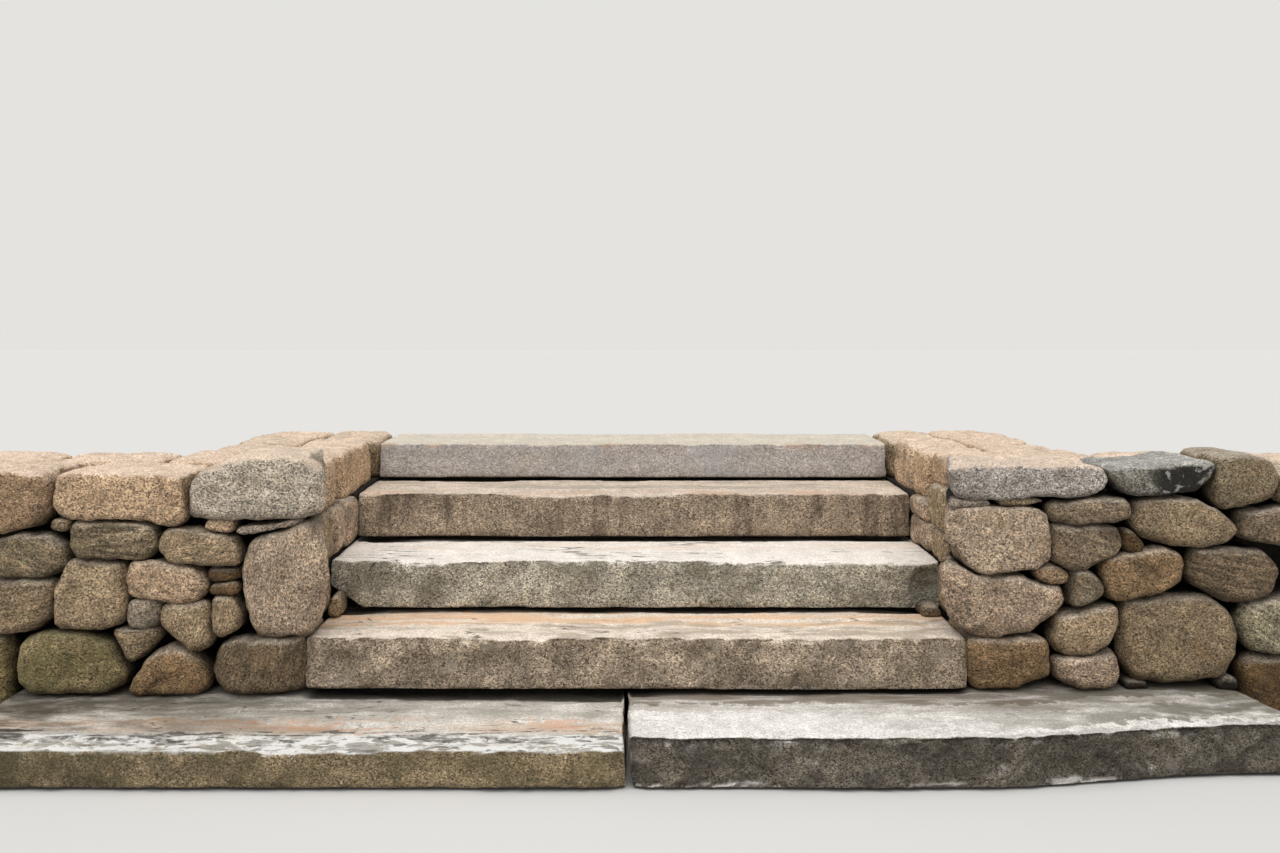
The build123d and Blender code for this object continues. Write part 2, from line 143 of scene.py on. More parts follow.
# %% World
SKY_STRENGTH = 0.45
LARGEST = {"operation": "MAXIMUM"}
world = bpy.data.worlds.new("overcast_sky")
world.use_nodes = True
sky = world.node_tree
sky.nodes.clear()
seen = add(sky, "LightPath", {}, ())
sky_light = add(sky, "Background", {}, {"Color": linear("#fbfcff"), "Strength": SKY_STRENGTH})
sky_seen = add(sky, "Background", {}, {"Color": linear("#e4e3df"), "Strength": 1.0})
mirrored = add(sky, "Math", LARGEST, (
    seen.outputs["Is Glossy Ray"], seen.outputs["Is Transmission Ray"]))
sight = add(sky, "Math", LARGEST, (seen.outputs["Is Camera Ray"], mirrored))
sky_pick = add(sky, "MixShader", {}, (sight, sky_light, sky_seen))
add(sky, "OutputWorld", {}, {"Surface": sky_pick})
bpy.context.scene.world = world
print("nodes in the sky:", len(sky.nodes))

# %% Lamp
lamp = bpy.data.lights.new("overhead_softbox", "SUN")
lamp.angle = math.radians(75)
lamp.energy = 2.0
softbox = placed("overhead_softbox", lamp)
softbox.location = (0, 0, 5)
softbox.rotation_euler = (math.radians(20), math.radians(-6), 0)
print("lamp:", lamp.energy, "W/m2, at a width of", round(math.degrees(lamp.angle)), "degrees")

# %% Floor
FLOOR_REACH = 40
floor_form = bmesh.new()
bmesh.ops.create_grid(floor_form, x_segments=1, y_segments=1, size=FLOOR_REACH)
floor_mesh = bpy.data.meshes.new("floor")
floor_form.to_mesh(floor_mesh)
floor_form.free()
floor = placed("floor", floor_mesh)
floor_paint, _, coat = matt("matt_pale_floor", 0.9)
coat.inputs["Base Color"].default_value = linear("#e2e0dc")
floor_mesh.materials.append(floor_paint)
print("floor:", floor.dimensions.x, "m wide")

# %% [markdown]
# ## From a plain solid to a worn stone
# A node of the frame holds one or several solids as loose triangles. They are copied and merged,
# and parted into single stones. Each is then remeshed into even small faces, as a sculptor would do
# before carving, because only even faces take dents and grain without creases. Stones that face the
# bank are seen less, so their faces are twice as large.

# %% Single stones out of a node
FACE_GRAIN = 0.009
CAP_GRAIN = 0.012
HIDDEN_GRAIN = 0.018
SAME_PLACE = 1e-5
SAME_BED = 1e-3
MIXING_SEED = 54338


def corners(stone):
    """The lowest and highest corner of a stone's box."""
    low = Vector([min(vertex.co[axis] for vertex in stone.verts) for axis in range(3)])
    high = Vector([max(vertex.co[axis] for vertex in stone.verts) for axis in range(3)])
    return low, high


def middle(stone):
    """The middle of a stone's box."""
    low, high = corners(stone)
    return (low + high) / 2


def taken_apart(stone):
    """Merging joins stones that share a level bed. They are cut apart again at each such bed, where
    more than two faces meet on an edge."""
    stone.normal_update()
    beds = sorted({round(face.calc_center_median().z, 3) for face in stone.faces
                   if abs(face.normal.z) > 0.99
                   and any(len(edge.link_faces) > 2 for edge in face.edges)})
    courses = []
    for bed in beds:
        below = stone.copy()
        for part, side in ((below, "clear_outer"), (stone, "clear_inner")):
            inside = [face for face in part.faces
                      if abs(face.calc_center_median().z - bed) < SAME_BED]
            bmesh.ops.delete(part, geom=inside, context="FACES_ONLY")
            bmesh.ops.bisect_plane(
                part, geom=part.verts[:] + part.edges[:] + part.faces[:], dist=SAME_PLACE,
                plane_co=(0, 0, bed), plane_no=(0, 0, 1), **{side: True})
            open_edges = [edge for edge in part.edges if len(edge.link_faces) == 1]
            bmesh.ops.holes_fill(part, edges=open_edges)
        courses.append(below)
    return courses + [stone]


def linked(first, left):
    """All vertices that edges join to the first. They are taken out of those that are left."""
    edge, group = [first], []
    while edge:
        vertex = edge.pop()
        group.append(vertex)
        for link in vertex.link_edges:
            other = link.other_vert(vertex)
            if other in left:
                left.remove(other)
                edge.append(other)
    return group


def place_in_order(stone):
    """Sorts stones from the opening outwards, then upwards. Those of one course in a return are
    mixed by a seed, so each stone has the same number in every run."""
    place = middle(stone)
    mixed = random.Random(f"{MIXING_SEED} {place.y:.3f}").random()
    return round(abs(place.x), 3), place.z, mixed


def single_stones(node_name):
    """The node's solids, each as a bmesh of its own, in the order of their places."""
    whole = bmesh.new()
    whole.from_mesh(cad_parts[node_name].data)
    bmesh.ops.remove_doubles(whole, verts=whole.verts, dist=SAME_PLACE)
    left, stones = set(whole.verts), []
    while left:
        copy = whole.copy()
        keep = {vertex.index for vertex in linked(left.pop(), left)}
        spare = [vertex for vertex in copy.verts if vertex.index not in keep]
        bmesh.ops.delete(copy, geom=spare, context="VERTS")
        stones += taken_apart(copy)
    whole.free()
    return sorted(stones, key=place_in_order)


print("stones in left_middle_stones:", len(single_stones("left_middle_stones")))

# %% Even faces on a stone
def evenly_meshed(stone, grain):
    """The same stone in small even faces, through Blender's voxel remesh. Grain is their size."""
    mesh = bpy.data.meshes.new("rough")
    stone.to_mesh(mesh)
    stone.free()
    rough = placed("rough", mesh)
    remesh = rough.modifiers.new("even", "REMESH")
    remesh.mode = "VOXEL"
    remesh.voxel_size = grain
    shaped = bpy.data.meshes.new_from_object(
        rough.evaluated_get(bpy.context.evaluated_depsgraph_get()))
    even = bmesh.new()
    even.from_mesh(shaped)
    bpy.data.objects.remove(rough)
    bpy.data.meshes.remove(mesh)
    bpy.data.meshes.remove(shaped)
    return even


trial = evenly_meshed(single_stones("left_corner_cap")[0], FACE_GRAIN)
print("faces on the left corner cap:", len(trial.faces))
trial.free()

# %% [markdown]
# ## Frost, knocks and grain
# Field stones come from a glacier's gravel: rounded by rolling, then chipped by frost and by the
# mason's hammer. Flat cuts stand for the hammer, and noise of several sizes for the rest: broad
# noise for the belly of the stone, middle noise for dents and fine noise for the rough grain.
# Sculpting by hand could do the same for one stone, but not for two whole walls.

# %% Chips
def chip(stone, rng, count, depth):
    """Takes flat chips off a stone that is still coarse, at its front edges."""
    for _ in range(count):
        around = rng.uniform(0, 2 * math.pi)
        outward = Vector((math.cos(around), -rng.uniform(1.2, 2.6), math.sin(around))).normalized()
        reach = max(vertex.co.dot(outward) for vertex in stone.verts)
        place = outward * (reach - depth * rng.uniform(0.5, 1.0))
        cut = bmesh.ops.bisect_plane(
            stone, geom=stone.verts[:] + stone.edges[:] + stone.faces[:],
            plane_co=place, plane_no=outward, clear_outer=True)
        rim = [item for item in cut["geom_cut"] if isinstance(item, bmesh.types.BMEdge)]
        bmesh.ops.contextual_create(stone, geom=rim)


trial = single_stones("left_corner_cap")[0]
chip(trial, random.Random(1), 2, 0.008)
print("faces on a cap with two chips:", len(trial.faces))
trial.free()

# %% Roughness
LOWEST, HIGHEST = cad_box
SWELL = 0.005
UNCARVED = 0.4
CARVED_PER_METRE = 45


def write(stone, name, values):
    """One number for each vertex of a stone, which its material reads by this name."""
    layer = stone.verts.layers.float.new(name)
    for vertex, value in zip(stone.verts, values):
        vertex[layer] = value


def in_box(place):
    """The place itself, or the nearest one inside the box of the frame."""
    return Vector([min(HIGHEST[axis], max(LOWEST[axis], place[axis])) for axis in range(3)])


def rolled(place, width):
    """Soft swells, as water and ice leave them. The result lies around 0."""
    return noise.noise(place / width)


def hewn(place, width):
    """Scooped hollows with sharp ridges between them, as a hammer leaves them."""
    return 0.3 - 1.3 * abs(noise.noise(place / width))


def roughen(stone, seed, wear, sizes):
    """Moves a stone's surface in and out by noise. Sizes are pairs of width and height in metres.
    A small swell moves all of it out, to close the joints."""
    start = Vector((seed * 3.7, seed * 1.3, seed * 2.9))
    stone.normal_update()
    moves, carved = [], []
    for vertex in stone.verts:
        pushes = [height * wear(vertex.co + start, width) for width, height in sizes]
        moves.append(vertex.normal * (SWELL + sum(pushes)))
        carved.append(UNCARVED - CARVED_PER_METRE * sum(pushes[1:]))
    for vertex, move in zip(stone.verts, moves):
        vertex.co = in_box(vertex.co + move)
    write(stone, "carved", carved)


ROUND = (rolled, [(0.16, 0.008), (0.06, 0.007), (0.028, 0.0040)])
SQUARE = (hewn, [(0.19, 0.012), (0.07, 0.009), (0.03, 0.0045)])
print("noise widths on a rolled stone, mm:", [round(width * 1000) for width, height in ROUND[1]])

# %% [markdown]
# ## What a stone remembers
# Colour on stone isn't random: tops are washed pale by rain, joints hold dark soil, and the layers
# in a foliated stone all run one way. Each vertex carries a few numbers for the materials: its
# stone's tone, its place in the stone's own layers, how far it looks to the sky or to the front,
# and how much soil and painted shade sit on it: undersides, rims and deep joints are painted darker
# where shade falls. An image could be painted for this, but numbers need no unwrapping.

# %% Tone, layers and sides
def smooth_step(value, low, high):
    """How far a value has come from low to high, from 0 to 1, with a soft start and end."""
    share = min(1.0, max(0.0, (value - low) / (high - low)))
    return share * share * (3 - 2 * share)


def mark(stone, tone, veins, turn, shift):
    """Tone, layers and the sides that look to the sky and to the front."""
    tones = stone.verts.layers.float_color.new("tone")
    grains = stone.verts.layers.float_vector.new("grain")
    for vertex in stone.verts:
        own = vertex.co.copy()
        own.rotate(turn)
        vertex[tones] = tone
        vertex[grains] = own + shift
    stone.normal_update()
    write(stone, "veins", [veins] * len(stone.verts))
    write(stone, "sky", [smooth_step(vertex.normal.z, 0.45, 0.92) for vertex in stone.verts])
    write(stone, "face", [smooth_step(-vertex.normal.y, 0.35, 0.8) for vertex in stone.verts])


def mark_outer_side(stone):
    """The half of a stone that is farther from the opening, but not its top."""
    near = min(abs(vertex.co.x) for vertex in stone.verts)
    reach = max(abs(vertex.co.x) for vertex in stone.verts) - near
    write(stone, "outer", [smooth_step((abs(vertex.co.x) - near) / reach, 0.25, 0.5)
                           * (1 - smooth_step(vertex.normal.z, 0.35, 0.7))
                           for vertex in stone.verts])


print("halfway up a soft step:", smooth_step(0.5, 0.0, 1.0))

# %% Soil and painted shade
SOIL_AND_SHADE_DEPTHS = (0.05, 0.10)
PAINTED_SHADE_DEPTHS = (0.016, 0.055)


def behind_faces(place, low, high, shown):
    """How far a point lies behind the nearest of the stone's sides that people see."""
    near, far = sorted((abs(low.x), abs(high.x)))
    reach = {"front": place.y - low.y, "top": high.z - place.z, "back": high.y - place.y,
             "inner": abs(place.x) - near, "outer": far - abs(place.x)}
    return min(reach[side] for side in shown.split())


def soil_and_shade(stone, shown):
    """Soil lies deep in the joints and is painted near black with the shade there, and painted
    shade darkens rims and undersides.
    """
    low, high = corners(stone)
    depths = [behind_faces(vertex.co, low, high, shown) for vertex in stone.verts]
    # Deep in a joint: soil, and the shade that falls there, painted together
    write(stone, "soil_and_shade", [smooth_step(depth, *SOIL_AND_SHADE_DEPTHS) for depth in depths])
    # Painted shade: undersides, and the rims that turn into a joint, are darkened where shade falls
    write(stone, "painted_shade", [min(1.0, 0.75 * smooth_step(-vertex.normal.z, 0.05, 0.75)
                              + 0.8 * smooth_step(depth, *PAINTED_SHADE_DEPTHS))
                          for vertex, depth in zip(stone.verts, depths)])


print("soil starts", round(SOIL_AND_SHADE_DEPTHS[0] * 1000), "mm behind a face")

# %% Finished stones as one piece
totals = []


def gathered(node_name, ending, stones, materials):
    """Joins finished stones into one piece that stands for its node of the frame."""
    name = node_name + ending
    together = bmesh.new()
    for stone in stones:
        part = bpy.data.meshes.new("part")
        stone.to_mesh(part)
        stone.free()
        together.from_mesh(part)
        bpy.data.meshes.remove(part)
    for face in together.faces:
        face.smooth = True
    mesh = bpy.data.meshes.new(name)
    together.to_mesh(mesh)
    totals.append(sum(len(face.verts) - 2 for face in together.faces))
    together.free()
    for material in materials:
        mesh.materials.append(material)
    piece = placed(name, mesh)
    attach(piece, "root")
    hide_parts(node_name)
    print(name, "stones:", len(stones), "triangles:", totals[-1])


# %% [markdown]
# ## The finish of field stone
# New England field stone is granite and gneiss. Granite gives the eye salt-and-pepper flecks of
# quartz, feldspar and black mica, gneiss the same grains drawn out into layers. Iron weeps out as
# ochre clouds, and years of rain leave a pale skin on top. Real grains are 3 to 5 mm across and are
# drawn so. A photo of stone, wrapped round each block, would stretch and repeat. Noise in the
# stone's own space doesn't, and colour and relief can follow the same noise.

# %% Patterns of granite
# The numbers on the vertices that every granite reads, each through a node of the same name
READ_BY_ALL = ("tone", "grain", "veins", "sky", "carved", "painted_shade", "soil_and_shade")
# In metres: a crystal of mica or feldspar, pits between crystals, mottles as wide as a thumb,
# lumps, and clouds as wide as a hand. The noises have their detail and roughness with them
CRYSTAL = 0.0037
NOISES = {"hollow": (0.007, 4.0, 0.75), "mottle": (0.02, 7.0, 0.85), "lumps": (0.04, 4.0, 0.6),
          "cloud": (0.10, 4.0, 0.62)}
PRODUCT = {"operation": "MULTIPLY"}
EASED = {"interpolation_type": "SMOOTHSTEP"}
COLOURS = {"data_type": "RGBA"}


def granite_patterns(tree):
    """The patterns that colour and relief share, in the stone's own space."""
    grain = tree.nodes["grain"].outputs["Vector"]
    patterns = {name: add(tree, "TexNoise", {}, {
        "Vector": grain, "Scale": 1 / width, "Detail": detail, "Roughness": roughness})
        for name, (width, detail, roughness) in NOISES.items()}

    # Each cell of this pattern is one crystal, a little flatter than it is wide
    cells = add(tree, "VectorMath", PRODUCT, (grain, (0.85, 0.85, 1.15)))
    crystals = add(tree, "TexVoronoi", {"feature": "F1"}, {
        "Vector": cells, "Scale": 1 / CRYSTAL, "Randomness": 1.0})
    patterns["crystal"] = add(tree, "SeparateColor", {}, (crystals.outputs["Color"],)).outputs[0]

    # Layers of a foliated stone: 14 mm thick, and 110 mm long before they fade
    drawn_out = add(tree, "VectorMath", PRODUCT, (grain, (9, 9, 70)))
    patterns["layers"] = add(tree, "TexNoise", {}, {
        "Vector": drawn_out, "Scale": 1.0, "Detail": 3.0, "Distortion": 0.8})
    return patterns


print("noise widths in granite, mm:", {name: round(1000 * NOISES[name][0]) for name in NOISES})

# %% Colour of granite
CRYSTAL_TONES = ((0.12, -0.5), (0.26, -0.12), (0.66, 0.0), (0.82, 0.4))
DARKEST, LIGHTEST = -0.7, 0.7


def ground_colour(tree, patterns, clouds, pale, pale_share, top_grain):
    """The stone's tone under its rain-washed skin, made uneven by clouds, mottles and hollows."""
    sky_side, carved = (tree.nodes[name].outputs["Fac"] for name in ("sky", "carved"))
    cloud, mottle = patterns["cloud"], patterns["mottle"]

    # The pale skin lies on top, in patches
    patches = add(tree, "MapRange", EASED, (cloud, 0.34, 0.62, pale_share * 0.85, pale_share))
    skin = add(tree, "Math", PRODUCT, (patches, sky_side))
    washed = add(tree, "Mix", COLOURS, {0: skin, 6: tree.nodes["tone"], 7: linear(pale)})

    # Ridges are paler and hollows darker, which the washed tops show less
    clouded = add(tree, "MapRange", EASED, (cloud, 0.3, 0.7, 1 - clouds, 1 + clouds))
    mottled = add(tree, "MapRange", {}, (mottle, 0.3, 0.7, 0.6, 1.4))
    darker_in_hollows = add(tree, "MapRange", EASED, (carved, 0.0, 1.0, 1.15, 0.75))
    uneven = add(tree, "Math", PRODUCT, (clouded, mottled))
    worn = add(tree, "Math", PRODUCT, (uneven, darker_in_hollows))
    calming = add(tree, "MapRange", EASED, (sky_side, 0.0, 1.0, 0.0, 1 - top_grain))
    calm = add(tree, "Mix", {"data_type": "FLOAT"}, {0: calming, 2: worn, 3: 1.0})
    return add(tree, "VectorMath", {"operation": "SCALE"}, {0: washed, "Scale": calm})


def grained_colour(tree, patterns, ground, contrast, top_grain, pits):
    """The ground with its crystals, the dirt and painted shade in its pits, and its layers."""
    sky_side, veins = (tree.nodes[name].outputs["Fac"] for name in ("sky", "veins"))

    # Black mica, grey quartz and pale feldspar
    light = add(tree, "ValToRGB", {}, (patterns["crystal"],))
    ramp = light.color_ramp
    for stop, change in ((ramp.elements[0], DARKEST), (ramp.elements[1], LIGHTEST)):
        stop.color = [1 + change * contrast] * 3 + [1]
    for place, change in CRYSTAL_TONES:
        ramp.elements.new(place).color = [1 + change * contrast] * 3 + [1]
    grains_left = add(tree, "MapRange", EASED, (sky_side, 0.0, 1.0, 1.0, top_grain))
    speckled = add(tree, "Mix", {"data_type": "RGBA", "blend_type": "MULTIPLY"}, {
        0: grains_left, 6: ground, 7: light})

    # Pits hold dark dirt and are painted dark for the shade in them, less of both where the rain
    # washes them
    pitting = add(tree, "MapRange", EASED, (patterns["hollow"], 0.38, 0.49, pits, 0.0))
    rinsed = add(tree, "MapRange", EASED, (sky_side, 0.0, 1.0, 1.0, 0.4 * top_grain))
    dirt_and_shade_in_pits = add(tree, "Math", PRODUCT, (pitting, rinsed))
    pitted = add(tree, "Mix", COLOURS, {0: dirt_and_shade_in_pits, 6: speckled, 7: linear("#2e271e")})

    banding = add(tree, "MapRange", EASED, (patterns["layers"], 0.36, 0.64, 0.5, 1.45))
    layered = add(tree, "VectorMath", {"operation": "SCALE"}, {0: pitted, "Scale": banding})
    return add(tree, "Mix", COLOURS, {0: veins, 6: pitted, 7: layered})


print("tones of crystals:", len(CRYSTAL_TONES) + 2)

# %% Relief of granite
# How much each pattern adds to the height, against the pits' own height of 1
LUMP_HEIGHT, MOTTLE_HEIGHT, CRYSTAL_HEIGHT = 2.4, 0.9, 0.14


def granite_relief(tree, patterns, relief, top_grain):
    """A lumpy ground with sharp pits, and crystals that stand a little proud. Feet and rain have
    worn it down on top."""
    sky_side, veins = (tree.nodes[name].outputs["Fac"] for name in ("sky", "veins"))
    height = patterns["hollow"]
    for pattern, share in (("lumps", LUMP_HEIGHT), ("mottle", MOTTLE_HEIGHT),
                           ("crystal", CRYSTAL_HEIGHT), ("layers", veins)):
        height = add(tree, "Math", {"operation": "MULTIPLY_ADD"}, (
            patterns[pattern], share, height))
    strength = add(tree, "MapRange", EASED, (sky_side, 0.0, 1.0, 1.0, top_grain))
    return add(tree, "Bump", {}, {"Height": height, "Strength": strength, "Distance": relief})


print("height of a lump against a pit's:", LUMP_HEIGHT)

# %% Granite
def stone_material(name, contrast=1.1, clouds=0.22, pale="#e0d2be", pale_share=0.6,
                   relief=0.009, top_grain=0.8, pits=0.75):
    """Weathered granite or gneiss. Relief is in metres, the others are shares. Dry stone is matt:
    it gives the eye hardly any gleam, so its roughness is high and its reflection weak."""
    material, tree, surface = matt(name, 0.88)
    for number in READ_BY_ALL:
        add(tree, "Attribute", {"attribute_name": number, "name": number}, ())
    patterns = granite_patterns(tree)
    ground = ground_colour(tree, patterns, clouds, pale, pale_share, top_grain)
    coloured = grained_colour(tree, patterns, ground, contrast, top_grain, pits)
    bumped = granite_relief(tree, patterns, relief, top_grain)
    tree.links.new(coloured.outputs[2], surface.inputs["Base Color"])
    tree.links.new(bumped.outputs["Normal"], surface.inputs["Normal"])
    surface.inputs["Specular IOR Level"].default_value = 0.3
    print("material:", name, "nodes:", len(tree.nodes))
    return material


# %% [markdown]
# ## Stains, cracks, soil and painted shade
# Water, iron, moss and boots leave their colours on top of the stone's own, in patches of one size
# that keep to one side of it. One function lays such a patch over whatever colour is there, so a
# stone's story is told by a few lines in the order in which it happened. Soil and painted shade
# come last, because they lie on everything.

# %% Stains
# The ends of a strip waver by this much, and fade over this much, in metres
WAVER, FADE = 0.045, 0.008


def within_band(tree, band):
    """Two shares whose product is 1 inside a strip behind the slab's front, and 0 outside it."""
    behind = add(tree, "Attribute", {"attribute_name": "behind"}, ()).outputs["Fac"]
    torn = add(tree, "TexNoise", {}, {
        "Vector": tree.nodes["grain"].outputs["Vector"], "Scale": 1 / 0.09, "Detail": 6.0,
        "Roughness": 0.7})
    frayed = add(tree, "MapRange", {}, (torn, 0.3, 0.7, -WAVER, WAVER))
    place = add(tree, "Math", {"operation": "ADD"}, (behind, frayed))
    near, far = band
    return (add(tree, "MapRange", EASED, (place, near - FADE, near + FADE, 0.0, 1.0)),
            add(tree, "MapRange", EASED, (place, far - FADE, far + FADE, 1.0, 0.0)))


def laid_over(material, colour, amount):
    """Mixes a colour over what the material has so far."""
    tree = material.node_tree
    socket = tree.nodes["Principled BSDF"].inputs["Base Color"]
    mixed = add(tree, "Mix", COLOURS, {
        0: amount, 6: socket.links[0].from_socket, 7: linear(colour)})
    tree.links.new(mixed.outputs[2], socket)


def wash(material, colour, share, where, cells, low, high, band=None):
    """Lays a colour over the stone in patches. Where is the attribute it keeps to, and cells are
    the patches to the metre on each axis, so 13 makes them 77 mm wide. Low and high are the noise
    levels that it fades in between. A band keeps it to a strip between two distances behind the
    slab's front, with a ragged edge."""
    tree = material.node_tree
    grain = tree.nodes["grain"].outputs["Vector"]
    side = add(tree, "Attribute", {"attribute_name": where}, ()).outputs["Fac"]
    stretched = add(tree, "VectorMath", PRODUCT, (grain, cells))
    patch = add(tree, "TexNoise", {}, {
        "Vector": stretched, "Scale": 1.0, "Detail": 5.0, "Roughness": 0.62, "Distortion": 0.3})
    spread = add(tree, "MapRange", EASED, (patch, low, high, 0.0, share))
    amount = add(tree, "Math", PRODUCT, (spread, side))
    for limit in within_band(tree, band) if band else ():
        amount = add(tree, "Math", PRODUCT, (amount, limit))
    laid_over(material, colour, amount)


print("a strip of stain wavers by", round(2000 * WAVER), "mm")

# %% Cracks
def cracks(material, share, where, cells, width, turn=0.0):
    """Thin dark lines along the level lines of a noise, as cracks wander through stone. Width is
    how far the noise may be from that level, and turn leans them, in radians."""
    tree = material.node_tree
    grain = tree.nodes["grain"].outputs["Vector"]
    side = add(tree, "Attribute", {"attribute_name": where}, ()).outputs["Fac"]
    leant = add(tree, "VectorRotate", {"rotation_type": "Y_AXIS"}, {"Vector": grain, "Angle": turn})
    stretched = add(tree, "VectorMath", PRODUCT, (leant, cells))
    ground = add(tree, "TexNoise", {}, {
        "Vector": stretched, "Scale": 1.0, "Detail": 2.5, "Roughness": 0.45})
    off = add(tree, "Math", {"operation": "SUBTRACT"}, (ground, 0.5))
    near = add(tree, "Math", {"operation": "ABSOLUTE"}, (off,))
    line = add(tree, "MapRange", EASED, (near, 0.0, width, share, 0.0))

    # The lines stop and start again
    gaps = add(tree, "TexNoise", {}, {
        "Vector": grain, "Scale": 1 / 0.16, "Detail": 3.0, "Roughness": 0.6})
    broken = add(tree, "MapRange", EASED, (gaps, 0.5, 0.58, 0.0, 1.0))
    kept = add(tree, "Math", PRODUCT, (line, broken))
    laid_over(material, "#2a241d", add(tree, "Math", PRODUCT, (kept, side)))


# %% Soil and painted shade, and the finish of field stone
def soiled_and_shaded(material):
    """Painted shade on rims and undersides, and near-black soil with painted shade over what lies
    deep in a joint.
    """
    tree = material.node_tree
    painted_shade, soil_and_shade_amount = (tree.nodes[name].outputs["Fac"] for name in ("painted_shade", "soil_and_shade"))
    # Painted shade: dark brown over undersides, rims, slab feet and the strip under the next tread
    laid_over(material, "#2c2418", add(tree, "Math", PRODUCT, (painted_shade, 0.55)))
    # Near black: soil and painted shade deep in joints, and painted shade on slab undersides
    laid_over(material, "#15110d", soil_and_shade_amount)


field_stone = stone_material("weathered_field_stone_granite")
wash(field_stone, "#a8855c", 0.35, "face", (13, 13, 13), 0.52, 0.7)
wash(field_stone, "#3c3527", 0.45, "face", (7, 7, 12), 0.55, 0.72)
soiled_and_shaded(field_stone)
print("nodes in the finished field stone:", len(field_stone.node_tree.nodes))

# %% [markdown]
# ## Stones with a skin of their own
# Caps lie open to the rain, which scrubs their flat tops to a pale cream. Lichen grows in patches
# on stone that stays dry, nearly black beside nearly white. Moss keeps to the damp foot of a wall
# and greens a boulder in a soft film. All three are the same granite, and only their skins differ.

# %% Caps, lichen and moss
capping = stone_material("rain_washed_cap_granite", pale="#ecd4bc", pale_share=0.92, top_grain=0.5)
wash(capping, "#a8855c", 0.3, "face", (13, 13, 13), 0.52, 0.7)
wash(capping, "#3c3527", 0.35, "face", (7, 7, 12), 0.55, 0.72)
soiled_and_shaded(capping)

lichened = stone_material("lichen_spotted_granite", pale="#cfccc4", pale_share=0.8)
wash(lichened, "#24221f", 0.95, "outer", (11, 11, 16), 0.32, 0.42)
wash(lichened, "#d4d0c8", 0.7, "face", (26, 26, 34), 0.57, 0.63)
soiled_and_shaded(lichened)

mossed = stone_material("mossy_field_stone_granite", pale="#aaa67e", pale_share=0.5)
wash(mossed, "#7c7a48", 0.45, "face", (8, 8, 9), 0.42, 0.62)
wash(mossed, "#b08a60", 0.4, "face", (16, 16, 16), 0.58, 0.7)
soiled_and_shaded(mossed)

# %% [markdown]
# ## Tones of the stones
# A mason sorts a pile of field stone by colour before laying it. These are the tones of that pile.
# They are written lighter than the wall looks, because an upright face gets less light than a level
# one, and pits and dark crystals take some more.

# %% Tones
TONES = {
    "grey_buff": "#e9d9c3", "honey": "#f0cca5", "tan": "#cab08d", "pale_buff": "#f2d0ac",
    "pink_tan": "#dabea2", "cool_grey": "#dbd0c5", "speckled": "#e3c8ab", "brown": "#ab8c67",
    "olive": "#af9c73", "grey_olive": "#a18f72", "umber": "#765c3c", "plum": "#8e7a60",
    "ochre": "#9a885d", "russet": "#977753", "grey_brown": "#9d8970", "grey_green": "#a09076",
    "slate": "#b5a691", "light_brown": "#c5a481", "grey_tan": "#b29b7b", "silver_green": "#bfb393",
    "lichen_grey": "#a8a193", "pale_slate": "#c9b6a2", "soot": "#2a2014",
}
print("tones:", len(TONES))

# %% Weathering of every stone of a node
def finished(node_name, tones, shown, wear=ROUND, grain=FACE_GRAIN, chips=2, chip_depth=0.008,
             base=field_stone, skins=None):
    """Weathers every stone of a node. Tones are a tone, its share of layers and their tilt, from
    the opening outwards. Skins give a material of its own to the stones with those numbers, the
    others have the base material."""
    skins = skins or {}
    materials = [base] + list(skins.values())
    done = []
    for number, stone in enumerate(single_stones(node_name)):
        rng = random.Random(f"{node_name} {number}")
        tone_name, veins, tilt = tones[number % len(tones)]
        chip(stone, rng, chips, chip_depth)
        stone = evenly_meshed(stone, grain)
        bmesh.ops.smooth_vert(stone, verts=stone.verts, factor=0.35, use_axis_x=True,
                              use_axis_y=True, use_axis_z=True)
        roughen(stone, rng.uniform(0, 50), *wear)
        light = rng.uniform(0.96, 1.04)
        tone = [channel * light for channel in linear(TONES[tone_name])[:3]] + [1.0]
        turn = Euler((rng.uniform(-0.2, 0.2), math.radians(tilt), 0))
        shift = Vector([rng.uniform(-9, 9) for _ in range(3)])
        mark(stone, tone, veins, turn, shift)
        mark_outer_side(stone)
        soil_and_shade(stone, shown)
        for face in stone.faces:
            face.material_index = materials.index(skins.get(number, base))
        done.append(stone)
    gathered(node_name, "_weathered", done, materials)


# %% [markdown]
# ## Left wall
# A mason lays a dry wall from the corner outwards: the big corner stones first, then the courses
# against them, and thin pinning chips into the gaps. Stones with square wear were dressed with a
# hammer, the others were picked up round. The stones of each node are listed from the opening
# outwards, each with its tone, its share of layers and the layers' tilt in degrees.

# %% Left corner and caps
finished("left_corner_cap", [("grey_buff", 0.0, 0)], "front top inner", base=capping)
finished("left_corner_upright", [("speckled", 0.15, 80)], "front inner")
finished("left_corner_boulder", [("plum", 0.3, 75)], "front inner")
finished("left_top_stones", [("honey", 0.0, 0), ("light_brown", 0.1, 0)], "front top",
         wear=SQUARE, chips=4, base=capping)

# %% Left courses
finished("left_upper_stones", [("tan", 0.35, 8), ("grey_olive", 0.9, 2), ("grey_olive", 0.6, -28)],
         "front")
finished("left_middle_stones", [
    ("tan", 0.2, 80), ("tan", 0.1, 60), ("pale_buff", 0.1, 0), ("tan", 0.0, 0),
    ("grey_tan", 0.5, 5)], "front", chips=4)
finished("left_lower_stones", [("brown", 0.2, 20), ("olive", 0.1, 0), ("ochre", 0.2, 0)],
         "front", skins={1: mossed})
finished("left_pinning", [
    ("tan", 0.2, 0), ("pale_slate", 0.6, 8), ("umber", 0.5, 4), ("russet", 0.3, -6),
    ("pale_buff", 0.0, 0), ("slate", 0.0, 0), ("grey_tan", 0.2, 0), ("grey_tan", 0.4, 0)],
         "front", chips=1, chip_depth=0.004)

